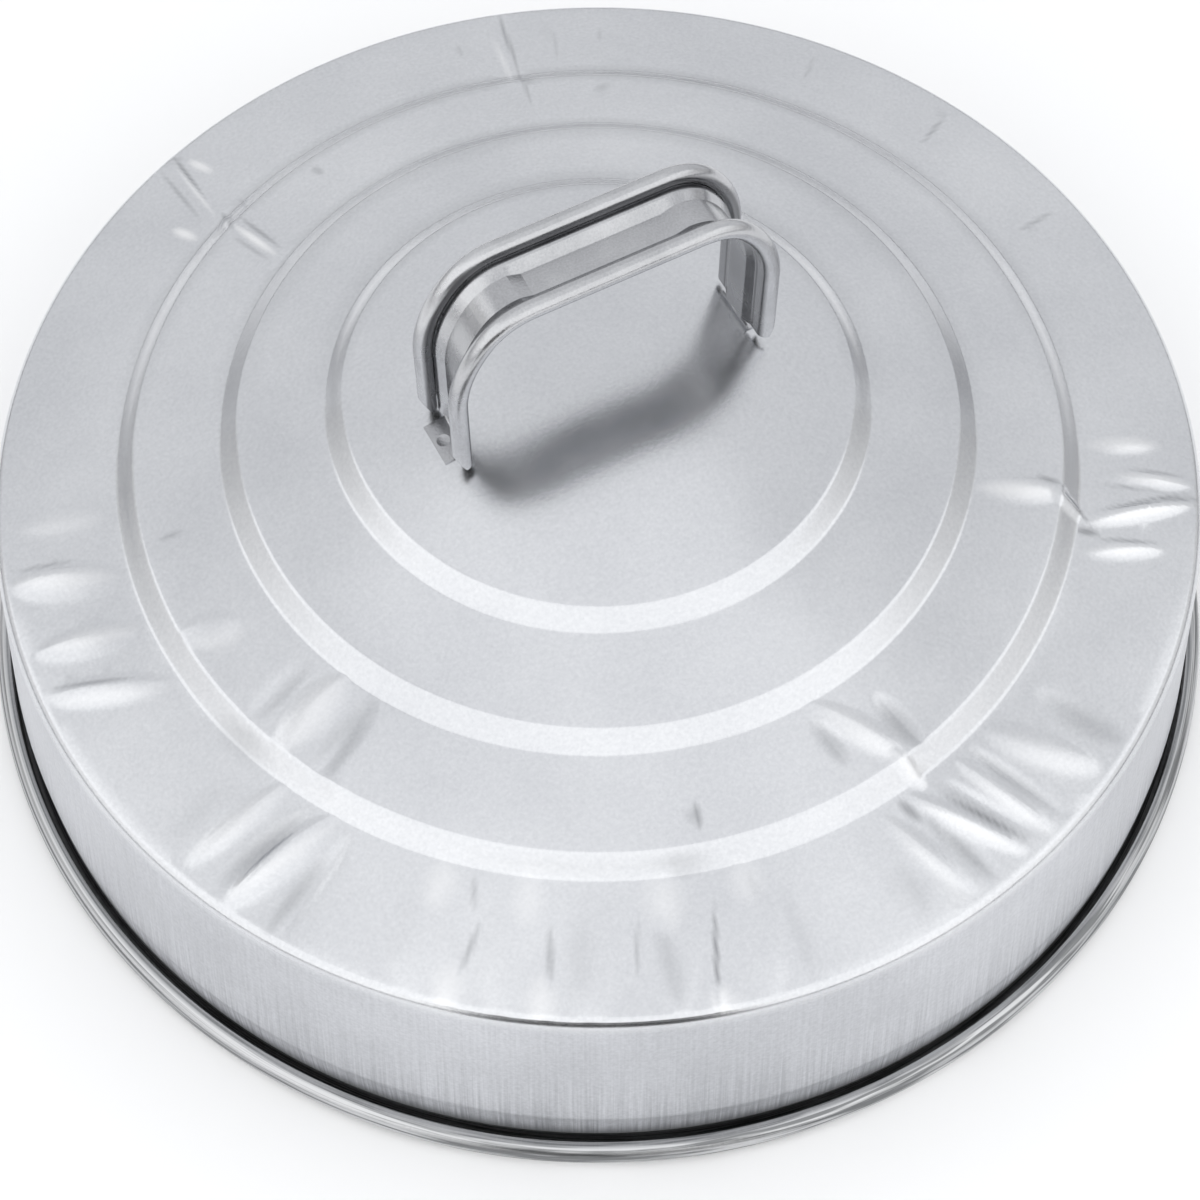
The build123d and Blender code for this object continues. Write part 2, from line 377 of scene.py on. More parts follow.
# %% Table of folds
# bearing, radius, length, width, height in mm (a dent is negative), lean in degrees,
# crest across the fold from -1 to 1 (0 is its middle, 1 the edge of greater bearing), sharp or not.
FOLDS = [
    (-28.2, 192, 32, 13, 1.1, 12, 0.2, 0), (-32.3, 200, 38, 8.5, 1.2, 6, 0.3, 1),
    (-36.7, 196, 48, 8, 1.7, 27, 0.5, 1), (-41.8, 192, 34, 9, 1.2, 24, 0.4, 0),
    (-38.8, 170.5, 16, 8, 1.0, -20, 0.3, 0), (-39.0, 153, 36, 13, 1.4, 18, 0.4, 1),
    (-61.8, 198, 34, 14, -0.5, 8, 0, 0), (-67.6, 195, 42, 16, 1.0, 26, 0.3, 0),
    (-71.9, 196, 40, 7, -1.1, 10, 0, 0), (-73.9, 196, 40, 7, 1.1, 12, 0.3, 0),
    (-75.9, 196, 38, 5, -0.8, 20, 0, 0), (-79.0, 195, 44, 8, 1.8, 29, 0.5, 1),
    (-80.4, 202, 26, 12, -0.7, 10, 0, 0), (-84.0, 196, 40, 9, 1.0, 20, 0.2, 0),
    (-80.6, 170.5, 16, 8, 0.9, 10, 0.3, 0), (-77.8, 156, 24, 10, -0.9, 5, 0, 0),
    (-83.2, 151, 36, 12, 1.5, 31, 0.4, 1), (-86.8, 150, 20, 9, -0.6, 10, 0, 0),
    (-102.5, 197, 40, 22, 0.7, 0, 0, 0), (-103.0, 182, 16, 12, 0.4, 0, 0, 0),
    (-107.6, 213, 12, 9, 0.4, 0, 0, 0), (-110.8, 197, 42, 24, 0.9, 0, 0, 0),
    (-111.5, 200, 28, 15, -0.6, 5, 0, 0), (-111.2, 180, 10, 13, 0.3, 0, 0, 0),
    (-118.6, 198, 42, 26, 0.9, 0, 0, 0), (-122.4, 211, 16, 14, 0.35, 0, 0, 0),
    (-126.4, 198, 42, 25, 0.9, 0, 0, 0), (-125.5, 181, 12, 10, 0.2, 0, 0, 0),
    (-131.0, 211, 16, 13, 0.35, 0, 0, 0), (-134.8, 198, 40, 27, 0.7, 0, 0, 0),
    (-134.8, 181, 12, 10, 0.2, 0, 0, 0),
    (-146.3, 197, 40, 9, -0.9, -8, 0, 0), (-150.4, 196, 46, 13, 1.9, -19, -0.6, 1),
    (-152.9, 196, 42, 11, -1.0, -17, 0, 0), (-156.4, 194, 42, 12, 1.1, -14, -0.2, 0),
    (-151.7, 153, 34, 13, -0.8, -6, 0, 0), (-157.3, 152, 34, 18, 1.2, -6, -0.2, 0),
    (-163.0, 153, 28, 10, -0.5, 0, 0, 0), (-149.3, 166, 12, 12, 0.3, 0, 0, 0),
    (-176.9, 197, 44, 12, 1.3, -30, -0.6, 1), (-182.9, 196, 38, 13.5, 1.25, -19, -0.5, 1),
    (-190.6, 197, 42, 15.5, 1.35, -21, -0.65, 1), (-198.5, 195, 36, 16, 0.4, -8, 0, 0),
    (-175.4, 158, 22, 14, 0.7, -25, -0.5, 1),
    (-244.9, 199, 46, 6, 1.4, -22, 0, 1), (-248.1, 204, 16, 6, 0.5, 0, 0, 0),
    (-238.7, 184, 15, 7, 0.5, -10, 0, 0), (-242.2, 171, 16, 6, 0.7, -22, 0, 0),
    (-240.5, 152, 32, 6, 0.9, -14, 0, 1), (-255.3, 159, 7, 6, -0.3, 0, 0, 0),
    (-287.4, 198, 46, 3.6, -0.5, 3, 0, 0), (-287.7, 171, 14, 3.6, -0.3, 0, 0, 0),
    (-287.8, 157, 20, 3.6, -0.3, 5, 0, 0), (-339.6, 200, 26, 3.6, -0.4, 11, 0, 0),
    (-356.6, 198, 24, 3.6, -0.4, 10, 0, 0),
]
print("folds in the table:", len(FOLDS))

# %% [markdown]
# # Painted highlight and shade on the folds
# The light and shade of the folds is painted into the colour: painted shade in a dull grey along
# creases, dents and some flanks, and painted highlights near white along ridges. A painted picture
# could carry this, but it lies along the folds, so a second table like the first places it. Each
# vertex keeps its shade as an attribute, and the material reads it.

# %% Table of painted highlight and shade
# The same columns as the folds, with a shade in place of the height:
# above 0 painted shade, and below 0 a painted highlight.
FOLD_HIGHLIGHT_AND_SHADE = [
    (-28.4, 191, 32, 10, -0.45, 10, 0, 0), (-32.2, 201, 32, 6.5, -0.45, 6, 0, 0),
    (-36.6, 197, 46, 6, -0.55, 27, 0, 0), (-41.8, 192, 34, 6.5, -0.45, 25, 0, 0),
    (-39.3, 151, 34, 11, -0.6, 15, 0, 0),
    (-33.8, 211, 18, 3.4, 0.5, 14, 0, 0), (-35.2, 197, 42, 2.8, 0.5, 27, 0, 0),
    (-31.2, 203, 26, 2.8, 0.35, 4, 0, 0), (-33.6, 195, 28, 2.8, 0.35, 8, 0, 0),
    (-40.5, 193, 26, 3.2, 0.45, 15, 0, 0), (-41.0, 178, 11, 5, 0.65, 10, 0, 0),
    (-36.3, 162, 11, 4.5, 0.5, 0, 0, 0), (-38.5, 173, 20, 2.8, 0.5, -40, 0, 0),
    (-62.0, 200, 34, 18, 0.25, 8, 0, 0), (-67.8, 197, 44, 20, -0.22, 26, 0, 0),
    (-71.9, 194, 40, 8, 0.35, 12, 0, 0), (-74.2, 197, 44, 9, -0.3, 12, 0, 0),
    (-77.0, 196, 42, 8, 0.25, 20, 0, 0), (-77.0, 197, 36, 3.2, 0.5, 24, 0, 0),
    (-79.0, 196, 44, 7, -0.4, 28, 0, 0), (-80.9, 199, 34, 10, 0.35, 14, 0, 0),
    (-83.0, 181, 12, 6, 0.6, 15, 0, 0), (-84.4, 198, 44, 10, -0.25, 10, 0, 0),
    (-87.3, 202, 24, 13, 0.2, 10, 0, 0),
    (-77.9, 158, 24, 15, 0.35, 5, 0, 0), (-83.1, 152, 36, 15, -0.3, 22, 0, 0),
    (-86.6, 150, 20, 9, 0.3, 10, 0, 0), (-80.3, 170.5, 16, 8, -0.3, 10, 0, 0),
    (-107.0, 201, 38, 2.8, 0.7, -9, 0, 0), (-106.1, 158, 11, 4.2, 0.6, 0, 0, 0),
    (-99.0, 200, 34, 8, 0.12, 0, 0, 0), (-111.4, 201, 34, 11, 0.22, 8, 0, 0),
    (-114.3, 196, 22, 2.8, 0.3, -4, 0, 0), (-119.7, 200, 34, 15, 0.12, 0, 0, 0),
    (-122.5, 199, 24, 4.5, 0.4, 5, 0, 0), (-130.1, 200, 22, 3.6, 0.4, -10, 0, 0),
    (-130.9, 182, 14, 3.4, 0.3, 15, 0, 0), (-109.0, 171.5, 9, 30, 0.25, 0, 0, 0),
    (-107.3, 216, 14, 12, -0.45, 0, 0, 0), (-123.0, 213, 20, 16, -0.4, 0, 0, 0),
    (-131.3, 213, 20, 16, -0.4, 0, 0, 0), (-102.5, 180, 16, 18, -0.3, 0, 0, 0),
    (-111.2, 182, 24, 20, -0.35, 0, 0, 0), (-125.3, 181, 20, 16, -0.3, 0, 0, 0),
    (-134.6, 182, 20, 18, -0.35, 0, 0, 0),
    (-147.4, 203, 36, 9, 0.4, -10, 0, 0), (-150.6, 196, 44, 8.5, -0.35, -24, 0, 0),
    (-153.1, 195, 42, 12, 0.45, -16, 0, 0), (-156.6, 193, 40, 12, -0.3, -15, 0, 0),
    (-160.2, 197, 36, 14, 0.12, -10, 0, 0),
    (-150.9, 151, 34, 9, 0.22, 2, 0, 0), (-152.7, 151, 34, 9, 0.22, -8, 0, 0),
    (-157.4, 151, 34, 20, -0.4, -2, 0, 0), (-161.7, 152, 30, 6, 0.15, 0, 0, 0),
    (-162.0, 172, 9, 40, 0.3, 0, 0, 0),
    (-176.3, 196, 44, 9, -0.25, -29, 0, 0), (-178.7, 200, 34, 3, 0.45, -28, 0, 0),
    (-183.2, 193, 38, 11, -0.35, -18, 0, 0), (-191.0, 196, 44, 12, -0.35, -20, 0, 0),
    (-193.6, 203, 28, 3, 0.35, -10, 0, 0), (-190.5, 157, 10, 4, 0.3, 0, 0, 0),
    (-173.6, 157, 22, 14, -0.25, -25, 0, 0), (-197.8, 195, 36, 14, -0.2, -8, 0, 0),
    (-244.9, 196, 42, 3.4, -0.7, -22, 0, 0), (-248.1, 204, 16, 6, -0.9, 0, 0, 0),
    (-238.7, 184, 15, 7, -0.9, -6, 0, 0), (-240.4, 153, 30, 4.5, -0.95, -14, 0, 0),
    (-246.2, 204, 40, 3.2, 0.65, -22, 0, 0), (-243.6, 200, 40, 2.8, 0.4, -22, 0, 0),
    (-242.0, 154, 30, 3, 0.5, -14, 0, 0), (-238.9, 152, 26, 2.8, 0.3, -14, 0, 0),
    (-242.3, 171, 18, 3, 0.5, -30, 0, 0), (-245.5, 171, 12, 2.6, 0.3, -35, 0, 0),
    (-287.4, 199, 46, 2.8, 0.5, 3, 0, 0), (-287.8, 166, 36, 2.8, 0.35, 3, 0, 0),
    (-286.2, 185, 40, 4, -0.4, 4, 0, 0),
    (-292.8, 195, 30, 2.8, 0.15, 3, 0, 0), (-281.6, 198, 10, 4, 0.2, 0, 0, 0),
    (-298.2, 199, 10, 3, 0.2, 0, 0, 0), (-298.7, 158, 8, 6, 0.25, 0, 0, 0),
    (-255.3, 159, 8, 6, 0.3, 0, 0, 0), (-323.1, 200, 22, 2.8, 0.2, 6, 0, 0),
    (-339.6, 200, 26, 2.8, 0.4, 11, 0, 0), (-356.6, 198, 24, 3.0, 0.35, 10, 0, 0),
]
print("places of wear:", len(FOLD_HIGHLIGHT_AND_SHADE))


# %% Height and shade at a place
LEAST_TAPER = 0.0001


def fold_axes(fold, x, y):
    """Places along and across one fold, each from -1 to 1 over its size."""
    bearing, radius, length, width, _, lean, _, _ = fold
    out = math.radians(bearing)
    along = math.radians(bearing + lean)
    dx = x - radius * MM * math.cos(out)
    dy = y - radius * MM * math.sin(out)
    lengthwise = (dx * math.cos(along) + dy * math.sin(along)) / (length * MM / 2)
    crosswise = (dy * math.cos(along) - dx * math.sin(along)) / (width * MM / 2)
    return lengthwise, crosswise


def fold_field(folds, x, y):
    """Sum of the folds or the painted highlight and shade of a table at points in plan, in the
    table's own numbers.
    """
    total = np.zeros_like(x)
    for fold in folds:
        _, _, _, _, height, _, crest, sharp = fold
        lengthwise, crosswise = fold_axes(fold, x, y)
        # A fold is a lens in plan: it narrows and sinks together towards its tips.
        taper = np.clip(1 - lengthwise**2, LEAST_TAPER, 1)
        across = crosswise / np.sqrt(taper)
        beyond = (1 - across) / (1 - crest)
        before = (1 + across) / (1 + crest)
        climb = np.clip(np.where(across > crest, beyond, before), 0, 1)
        # A sharp fold has straight sides and a narrow ridge, a soft one rolls over.
        sharp_side = climb**1.4 * (1.9 - 0.9 * climb)
        soft_side = climb * climb * (3 - 2 * climb)
        flank = sharp_side if sharp else soft_side
        total += height * taper * flank
    return total


# %% Finer faces under the folds
NARROW = 5
FINE_MARGIN = 1 * MM
FINE_CUTS = 3


def near_folds(x, y, margin):
    """Whether points in plan lie on a fold, on a narrow stroke of the painted light and shade, or
    within a margin of it.
    """
    near = np.zeros(len(x), dtype=bool)
    narrow_painted_marks = [place for place in FOLD_HIGHLIGHT_AND_SHADE if place[3] < NARROW]
    for fold in FOLDS + narrow_painted_marks:
        lengthwise, crosswise = fold_axes(fold, x, y)
        length, width = fold[2] * MM, fold[3] * MM
        along = abs(lengthwise) < 1 + 2 * margin / length
        near |= along & (abs(crosswise) < 1 + 2 * margin / width)
    return near


def refine_near_folds(bm, cuts):
    """Divide the crown's faces that lie under a fold."""
    faces = [f for f in bm.faces if f.calc_center_median().z > CORNER_HEIGHT - 1 * MM]
    centres = np.array([f.calc_center_median()[:] for f in faces])
    near = near_folds(centres[:, 0], centres[:, 1], FINE_MARGIN)
    edges = {edge for face, take in zip(faces, near) if take for edge in face.edges}
    bmesh.ops.subdivide_edges(bm, edges=list(edges), cuts=cuts, use_grid_fill=True)
    return int(near.sum())


refined = refine_near_folds(outline, FINE_CUTS)
print("faces divided:", refined, "faces now:", len(outline.faces))


# %% Painted highlight and shade on the steps
MIDDLE_SHADE = -0.45
EDGE_SHADE = 0.16
MIDDLE_HALF = 1 * MM
EDGE_HALF = 1.2 * MM


def step_highlight_and_shade(place):
    """Painted highlight and shade on the steps at the back: a highlight in their middle, shade at
    their edges.
    """
    radius = np.hypot(place[:, 0], place[:, 1])
    bearing = np.arctan2(place[:, 1], place[:, 0])
    to_back = np.clip(-np.cos(bearing - math.radians(FRONT)), 0, 1)
    on_step = np.zeros(len(place))
    for middle in STEPS:
        off_middle = abs(radius - middle)
        off_edge = abs(off_middle - STEP_WIDTH / 2)
        on_step += np.where(off_middle < MIDDLE_HALF, MIDDLE_SHADE, 0)
        on_step += np.where(off_edge < EDGE_HALF, EDGE_SHADE, 0)
    return on_step * np.sqrt(to_back)


# %% Press the folds
def press_folds(bm):
    """Move the crown's vertices along their normals by the folds and note the painted highlight and
    shade on them.
    """
    bm.normal_update()
    painted_shading = bm.verts.layers.float.new("painted_shading")
    crown = [v for v in bm.verts if v.co.z > CORNER_HEIGHT - 2 * MM]
    place = np.array([v.co[:] for v in crown])
    lift = fold_field(FOLDS, place[:, 0], place[:, 1]) * MM
    shade = fold_field(FOLD_HIGHLIGHT_AND_SHADE, place[:, 0], place[:, 1]) + step_highlight_and_shade(place)
    for vertex, amount, painted_shade in zip(crown, lift, np.clip(shade, -1, 1)):
        vertex[painted_shading] = float(painted_shade)
        vertex.co += vertex.normal * float(amount)
    return float(lift.min()), float(lift.max())


lowest, highest = press_folds(outline)
print("folds pressed from", round(lowest / MM, 2), "to", round(highest / MM, 2), "mm")

# %% [markdown]
# # The sheet's thickness
# So far the shell is a skin without thickness. Solidify adds the inner face at the same distance
# everywhere and closes the free edge inside the rolled rim, so the underside shows the same folds.

# %% Thickness
SHARP_EDGE = math.radians(40)


def finish_mesh(name, bm, material):
    """Make an object at the origin from a bmesh, smooth apart from its sharp edges."""
    mesh = bpy.data.meshes.new(name)
    bm.to_mesh(mesh)
    bm.free()
    for polygon in mesh.polygons:
        polygon.use_smooth = True
    mesh.set_sharp_from_angle(angle=SHARP_EDGE)
    mesh.materials.append(material)
    piece = bpy.data.objects.new(name, mesh)
    bpy.context.scene.collection.objects.link(piece)
    mesh.calc_loop_triangles()
    print(name, "has", len(mesh.loop_triangles), "triangles")
    return piece


bmesh.ops.solidify(outline, geom=list(outline.faces), thickness=SHEET)
shell_metal = bpy.data.materials.new("shell_zinc")
shell = finish_mesh("shell", outline, shell_metal)
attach(shell, "root")
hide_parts("lid_shell")

# %% [markdown]
# # Galvanized metal
# Zinc on pressed steel is a pale, slightly blue grey. Seen close, it has a fine grain, a faint
# cloudiness from uneven zinc, and on the skirt the upright lines that the drawing die left.
# Each effect is a node group, built once, with its values set in each material that uses it.

# %% Node group helpers
FLOAT = "NodeSocketFloat"
VECTOR = "NodeSocketVector"


def new_group(name, inputs, outputs):
    """Start a node group; return it with what it is given and what it puts out."""
    group = bpy.data.node_groups.new(name, "ShaderNodeTree")
    for label, kind in inputs:
        group.interface.new_socket(name=label, in_out="INPUT", socket_type=kind)
    for label, kind in outputs:
        group.interface.new_socket(name=label, in_out="OUTPUT", socket_type=kind)
    entry = group.nodes.new("NodeGroupInput")
    leave = group.nodes.new("NodeGroupOutput")
    return group, entry.outputs, leave.inputs


def math_node(tree, operation, first, second=None):
    """A Math node whose inputs are sockets or numbers; return its output."""
    node = tree.nodes.new("ShaderNodeMath")
    node.operation = operation
    for index, value in enumerate((first, second)):
        if value is None:
            continue
        if isinstance(value, (int, float)):
            node.inputs[index].default_value = value
        else:
            tree.links.new(value, node.inputs[index])
    return node.outputs[0]


def plus(tree, *values):
    """Sum of sockets or numbers."""
    total = values[0]
    for value in values[1:]:
        total = math_node(tree, "ADD", total, value)
    return total


def times(tree, *values):
    """Product of sockets or numbers."""
    product = values[0]
    for value in values[1:]:
        product = math_node(tree, "MULTIPLY", product, value)
    return product


def length_of(tree, first, second):
    """Length of the diagonal over two sides."""
    squares = [math_node(tree, "POWER", side, 2.0) for side in (first, second)]
    return math_node(tree, "SQRT", plus(tree, *squares))


def split_vector(tree, vector):
    """A vector's three parts."""
    parts = tree.nodes.new("ShaderNodeSeparateXYZ")
    tree.links.new(vector, parts.inputs[0])
    return parts.outputs["X"], parts.outputs["Y"], parts.outputs["Z"]


def join_vector(tree, parts):
    """A vector made of three sockets."""
    joined = tree.nodes.new("ShaderNodeCombineXYZ")
    for part, entry in zip(parts, joined.inputs):
        tree.links.new(part, entry)
    return joined.outputs[0]


def noise_node(tree, vector, scale, detail, roughness):
    """A noise texture; return its factor."""
    node = tree.nodes.new("ShaderNodeTexNoise")
    tree.links.new(vector, node.inputs["Vector"])
    node.inputs["Detail"].default_value = detail
    node.inputs["Roughness"].default_value = roughness
    if isinstance(scale, (int, float)):
        node.inputs["Scale"].default_value = scale
    else:
        tree.links.new(scale, node.inputs["Scale"])
    return node.outputs["Fac"]


# %% Zinc cloud and grain
def make_zinc_group():
    """Cloudy and grainy variation of bare zinc."""
    group, given, out = new_group(
        "zinc_variation",
        [("Vector", VECTOR), ("Cloud scale", FLOAT), ("Grain scale", FLOAT)],
        [("Cloud", FLOAT), ("Grain", FLOAT)],
    )
    cloud = noise_node(group, given["Vector"], given["Cloud scale"], 4.0, 0.55)
    grain = noise_node(group, given["Vector"], given["Grain scale"], 2.0, 0.6)
    group.links.new(cloud, out["Cloud"])
    group.links.new(grain, out["Grain"])
    return group


zinc_variation = make_zinc_group()
print("group", zinc_variation.name)

# %% Drawn lines
def make_drawn_group():
    """Upright lines on a turned wall: fine across the wall, long along its height."""
    group, given, out = new_group(
        "drawn_lines",
        [("Vector", VECTOR), ("Lines", FLOAT), ("Stretch", FLOAT)],
        [("Lines", FLOAT)],
    )
    x, y, z = split_vector(group, given["Vector"])
    angle = math_node(group, "ARCTAN2", y, x)
    across = times(group, math_node(group, "COSINE", angle), given["Lines"])
    inwards = times(group, math_node(group, "SINE", angle), given["Lines"])
    upwards = times(group, z, given["Stretch"])
    lines = noise_node(group, join_vector(group, (across, inwards, upwards)), 1.0, 2.0, 0.7)
    group.links.new(lines, out["Lines"])
    return group


drawn_lines = make_drawn_group()
print("group", drawn_lines.name)

# %% Rolled lines
def make_rolled_group():
    """Lines that run round the axis, as rollers leave them on a rim."""
    group, given, out = new_group(
        "rolled_lines",
        [("Vector", VECTOR), ("Lines", FLOAT), ("Length", FLOAT)],
        [("Lines", FLOAT)],
    )
    x, y, z = split_vector(group, given["Vector"])
    distance = length_of(group, x, y)
    angle = math_node(group, "ARCTAN2", y, x)
    over = times(group, plus(group, distance, z), given["Lines"])
    down = times(group, math_node(group, "SUBTRACT", distance, z), given["Lines"])
    turned = times(group, math_node(group, "COSINE", angle), given["Length"])
    lines = noise_node(group, join_vector(group, (over, down, turned)), 1.0, 2.0, 0.6)
    group.links.new(lines, out["Lines"])
    return group


rolled_lines = make_rolled_group()
print("group", rolled_lines.name)

# %% Material builder
def place_group(tree, group, values, vector):
    """Put a group into a material with its own values."""
    node = tree.nodes.new("ShaderNodeGroup")
    node.node_tree = group
    for label, value in values.items():
        node.inputs[label].default_value = value
    tree.links.new(vector, node.inputs["Vector"])
    return node


def ramp(tree, factor, low, high, from_low=0.3, from_high=0.7, smooth=False):
    """Map a factor to a range of numbers; return the result."""
    node = tree.nodes.new("ShaderNodeMapRange")
    node.interpolation_type = "SMOOTHSTEP" if smooth else "LINEAR"
    node.inputs["From Min"].default_value = from_low
    node.inputs["From Max"].default_value = from_high
    node.inputs["To Min"].default_value = low
    node.inputs["To Max"].default_value = high
    tree.links.new(factor, node.inputs["Value"])
    return node.outputs["Result"]


def tint(tree, factor, dark, light):
    """Mix two colours by a factor; return the colour."""
    node = tree.nodes.new("ShaderNodeMix")
    node.data_type = "RGBA"
    for label, colour in (("A", dark), ("B", light)):
        if isinstance(colour, tuple):
            node.inputs[label].default_value = (*colour, 1)
        else:
            tree.links.new(colour, node.inputs[label])
    tree.links.new(factor, node.inputs["Factor"])
    return node.outputs["Result"]


def spread(tree, factor, amount):
    """A factor about one half, moved to zero and scaled."""
    return math_node(tree, "MULTIPLY", math_node(tree, "SUBTRACT", factor, 0.5), amount)


def add_bump(tree, shader, height, strength, distance):
    """Give a shader a fine relief."""
    bump = tree.nodes.new("ShaderNodeBump")
    bump.inputs["Strength"].default_value = strength
    bump.inputs["Distance"].default_value = distance
    tree.links.new(height, bump.inputs["Height"])
    tree.links.new(bump.outputs["Normal"], shader.inputs["Normal"])


# %% Values of the shell's metal
CROWN_ZINC = ((0.61, 0.62, 0.645), (0.76, 0.77, 0.79))
# The skirt's zinc is painted darker than the crown's: painted shade on the upright wall. Its upright
# lines are the drawing die's.
SHADED_SKIRT_ZINC = ((0.46, 0.47, 0.495), (0.68, 0.69, 0.72))
RIM_ZINC = ((0.22, 0.225, 0.23), (0.62, 0.625, 0.635))
# Dull grey of painted shade, on the folds and in the joint above the rim, and near white of painted
# highlights.
PAINTED_SHADE_GREY = (0.20, 0.205, 0.215)
HIGHLIGHT_WHITE = (0.99, 0.99, 0.99)
SKIRT_FROM = (CORNER_HEIGHT - 6 * MM, CORNER_HEIGHT - 1 * MM)
LINES_FROM = (20 * MM, 60 * MM)
LINES_STRENGTH = 1.5
GRAIN_STRENGTH = 0.6
# Painted shade in the joint between skirt and rim: the heights where it fades, its streaks and its
# strength.
JOINT_SHADE_FROM = (9 * MM, 22 * MM)
JOINT_SHADE_STREAK = 9 * MM
JOINT_SHADE = 0.8
JOINT_ROUGH_FROM = (9 * MM, 26 * MM)
JOINT_ROUGH = 0.45
RIM_FROM = (9.3 * MM, 9.9 * MM)
SKIRT_ROUGH = 0.12
FINE_RELIEF = 0.2 * MM


# %% Shell metal
def shell_colour(tree, z, zinc, drawn, rolled, masks):
    """Colour of the shell: crown, skirt, painted shade in the joint above the rim, painted highlight
    and shade on the folds and steps, and the rim.
    """
    skirt, rim, lines, grain = masks
    shade = plus(tree, zinc.outputs["Cloud"], lines, grain)
    level = ramp(tree, shade, 0.0, 1.0, 0.2, 0.8)
    colour = tint(tree, skirt, tint(tree, level, *CROWN_ZINC), tint(tree, level, *SHADED_SKIRT_ZINC))
    # Painted shade darkens the joint between skirt and rim, and fades upwards in streaks.
    joint_shade_edge = plus(tree, z, spread(tree, drawn.outputs["Lines"], JOINT_SHADE_STREAK))
    joint_shade = ramp(tree, joint_shade_edge, JOINT_SHADE, 0.0, *JOINT_SHADE_FROM, smooth=True)
    colour = tint(tree, joint_shade, colour, PAINTED_SHADE_GREY)
    # Painted shade in dull grey where the attribute is above 0, and a painted highlight near white
    # where it is below 0.
    painted_shading = tree.nodes.new("ShaderNodeAttribute")
    painted_shading.attribute_name = "painted_shading"
    painted_shade = ramp(tree, painted_shading.outputs["Fac"], 0.0, 1.0, 0.0, 1.0)
    painted_highlight = ramp(tree, painted_shading.outputs["Fac"], 1.0, 0.0, -1.0, 0.0)
    colour = tint(tree, painted_shade, colour, PAINTED_SHADE_GREY)
    colour = tint(tree, painted_highlight, colour, HIGHLIGHT_WHITE)
    rim_level = ramp(tree, rolled.outputs["Lines"], 0.0, 1.0, 0.42, 0.58)
    return tint(tree, rim, colour, tint(tree, rim_level, *RIM_ZINC))


def fill_shell_metal(material):
    """Pale zinc: grained crown, lined skirt painted darker as shade, painted shade in the joint
    above the rim, and a rolled rim.
    """
    material.use_nodes = True
    tree = material.node_tree
    shader = tree.nodes["Principled BSDF"]
    shader.inputs["Metallic"].default_value = 1.0
    place = tree.nodes.new("ShaderNodeTexCoord").outputs["Object"]
    z = split_vector(tree, place)[2]
    zinc = place_group(tree, zinc_variation, {"Cloud scale": 11.0, "Grain scale": 700.0}, place)
    drawn = place_group(tree, drawn_lines, {"Lines": 210.0, "Stretch": 14.0}, place)
    rolled = place_group(tree, rolled_lines, {"Lines": 520.0, "Length": 5.0}, place)
    skirt = ramp(tree, z, 1.0, 0.0, *SKIRT_FROM)
    rim = ramp(tree, z, 1.0, 0.0, *RIM_FROM)
    low_skirt = ramp(tree, z, 1.0, 0.25, *LINES_FROM)
    drawn_shade = spread(tree, drawn.outputs["Lines"], LINES_STRENGTH)
    lines = times(tree, drawn_shade, skirt, low_skirt)
    grain = spread(tree, zinc.outputs["Grain"], GRAIN_STRENGTH)
    colour = shell_colour(tree, z, zinc, drawn, rolled, (skirt, rim, lines, grain))
    tree.links.new(colour, shader.inputs["Base Color"])
    # The drawn skirt is rougher than the crown, and the joint above the rim, where shade is painted,
    # is rougher still.
    skirt_rough = ramp(tree, skirt, 0.0, SKIRT_ROUGH, 0.0, 1.0)
    joint_rough = ramp(tree, z, JOINT_ROUGH, 0.0, *JOINT_ROUGH_FROM, smooth=True)
    off_rim = math_node(tree, "SUBTRACT", 1.0, rim)
    cloud_rough = ramp(tree, zinc.outputs["Cloud"], 0.20, 0.27)
    rough = plus(tree, cloud_rough, skirt_rough, times(tree, joint_rough, off_rim))
    tree.links.new(rough, shader.inputs["Roughness"])
    rim_relief = times(tree, rolled.outputs["Lines"], rim, 1.2)
    height = plus(tree, lines, times(tree, grain, 0.5), rim_relief)
    add_bump(tree, shader, height, 0.3, FINE_RELIEF)


fill_shell_metal(shell_metal)
print("material", shell_metal.name)

# %% [markdown]
# # The handle's metal
# The handle is the same zinc, drawn over rollers. Its web and inner face are painted darker than its
# rolled edges, a dark line lies in the gap beside each rolled edge, and the inside of the rolled
# edges is near black: all painted shade. The strap keeps the solid that the source made, so there
# is nothing to model here, and its places are told apart by where they lie on the strap.

# %% Values of the handle's metal
CURL_OFF_MIDDLE = 13.3 * MM
CURL_RADIUS = 3.3 * MM
CURL_OFF_AXIS = 59.2 * MM
EDGE_ZINC = ((0.44, 0.445, 0.46), (0.64, 0.645, 0.66))
# Painted shade: the web and the inner face are darker than the rolled edges, and the gaps near
# black.
SHADED_WEB_ZINC = ((0.40, 0.405, 0.42), (0.60, 0.605, 0.62))
SHADED_INNER_ZINC = ((0.26, 0.26, 0.27), (0.42, 0.425, 0.435))
GAP_SHADE = (0.06, 0.06, 0.065)
# Near black painted shade inside the rolled edges.
HOLLOW_SHADE = (0.02, 0.02, 0.02)
GRIP_MIDDLE = (0, 0, 160 * MM)
INNER_SHADE_FROM = (-40 * MM, -22 * MM)
WEB_FROM = (9.6 * MM, 10.4 * MM)
GAP_MIDDLE = 9.9 * MM
GAP_FROM = (0.2 * MM, 0.8 * MM)
GAP_SHADE_STRENGTH = 0.6
HOLLOW_SHADE_FROM = (CURL_RADIUS - 0.6 * MM, CURL_RADIUS - 0.3 * MM)
CURL_ENDS_FROM = (170 * MM, 180 * MM)


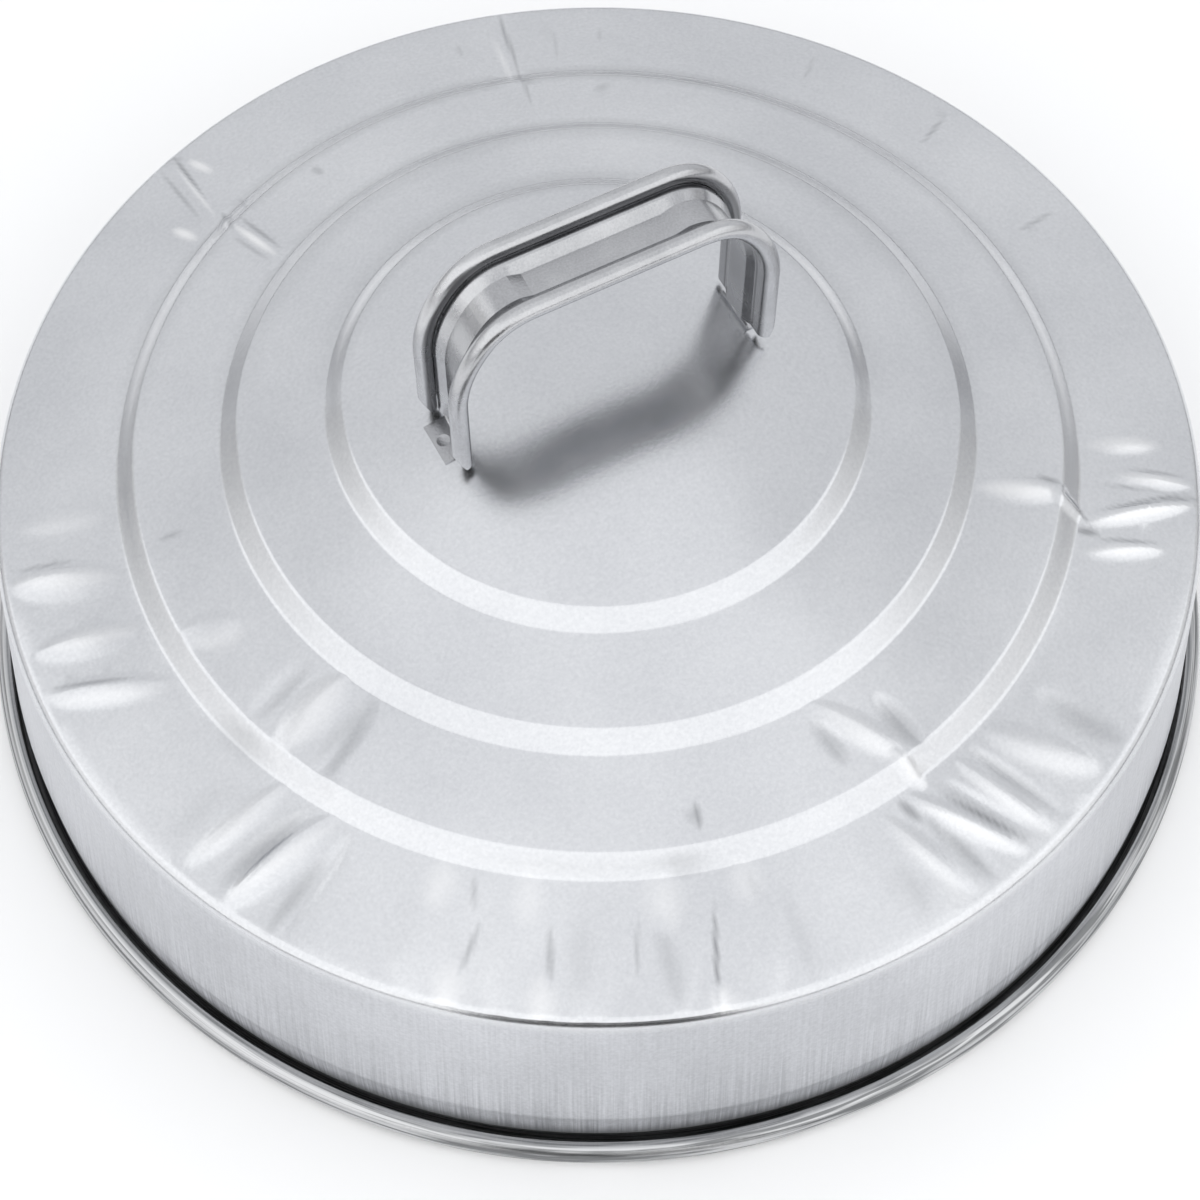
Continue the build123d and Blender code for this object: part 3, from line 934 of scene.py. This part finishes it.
# %% Handle metal
def facing_away(tree, coordinates, point):
    """How far a face looks away from a point: negative on faces that look towards it."""
    offset = tree.nodes.new("ShaderNodeVectorMath")
    offset.operation = "SUBTRACT"
    offset.inputs[1].default_value = point
    tree.links.new(coordinates["Object"], offset.inputs[0])
    facing = tree.nodes.new("ShaderNodeVectorMath")
    facing.operation = "DOT_PRODUCT"
    tree.links.new(offset.outputs[0], facing.inputs[0])
    tree.links.new(coordinates["Normal"], facing.inputs[1])
    return facing.outputs["Value"]


def fill_handle_metal(material):
    """Zinc on the strap, with painted shade: darker web and inner face, dark gaps and dark hollow
    ends.
    """
    material.use_nodes = True
    tree = material.node_tree
    shader = tree.nodes["Principled BSDF"]
    shader.inputs["Metallic"].default_value = 1.0
    coordinates = tree.nodes.new("ShaderNodeTexCoord").outputs
    place = coordinates["Object"]
    zinc = place_group(tree, zinc_variation, {"Cloud scale": 45.0, "Grain scale": 1300.0}, place)
    x, y, z = split_vector(tree, place)
    aside = math_node(tree, "ABSOLUTE", y)
    shade = plus(tree, zinc.outputs["Cloud"], spread(tree, zinc.outputs["Grain"], 0.5))
    level = ramp(tree, shade, 0.0, 1.0, 0.2, 0.8)
    edges, shaded_web, inner = [tint(tree, level, *pair) for pair in (EDGE_ZINC, SHADED_WEB_ZINC, SHADED_INNER_ZINC)]
    # The inner face looks towards a point under the middle of the grip, and is painted darker as
    # shade.
    inner_shade_mask = ramp(tree, facing_away(tree, coordinates, GRIP_MIDDLE), 1.0, 0.0, *INNER_SHADE_FROM)
    on_web = ramp(tree, aside, 1.0, 0.0, *WEB_FROM)
    colour = tint(tree, inner_shade_mask, tint(tree, on_web, edges, shaded_web), inner)
    # A dark line of painted shade lies where the web meets each rolled edge.
    beside = math_node(tree, "ABSOLUTE", math_node(tree, "SUBTRACT", aside, GAP_MIDDLE))
    gap_shade = ramp(tree, beside, GAP_SHADE_STRENGTH, 0.0, *GAP_FROM, smooth=True)
    colour = tint(tree, gap_shade, colour, GAP_SHADE)
    # The inside of the rolled edges is painted near black as shade: it shows only at their open
    # ends.
    out = math_node(tree, "SUBTRACT", math_node(tree, "ABSOLUTE", x), CURL_OFF_AXIS)
    side = math_node(tree, "SUBTRACT", aside, CURL_OFF_MIDDLE)
    hollow_shade = ramp(tree, length_of(tree, out, side), 1.0, 0.0, *HOLLOW_SHADE_FROM)
    low = ramp(tree, z, 1.0, 0.0, *CURL_ENDS_FROM)
    colour = tint(tree, times(tree, hollow_shade, low), colour, HOLLOW_SHADE)
    tree.links.new(colour, shader.inputs["Base Color"])
    tree.links.new(ramp(tree, zinc.outputs["Cloud"], 0.20, 0.30), shader.inputs["Roughness"])
    add_bump(tree, shader, zinc.outputs["Grain"], 0.2, FINE_RELIEF)


handle_metal = bpy.data.materials.new("handle_zinc")
fill_handle_metal(handle_metal)
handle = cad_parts["strap_handle"]
handle.data.materials.clear()
handle.data.materials.append(handle_metal)
print("material", handle_metal.name, "on", handle.name)

# %% [markdown]
# # Plain view settings
# The Standard transform shows a colour about as it is written, so nothing is hidden by a look.

# %% View
bpy.context.scene.view_settings.view_transform = "Standard"
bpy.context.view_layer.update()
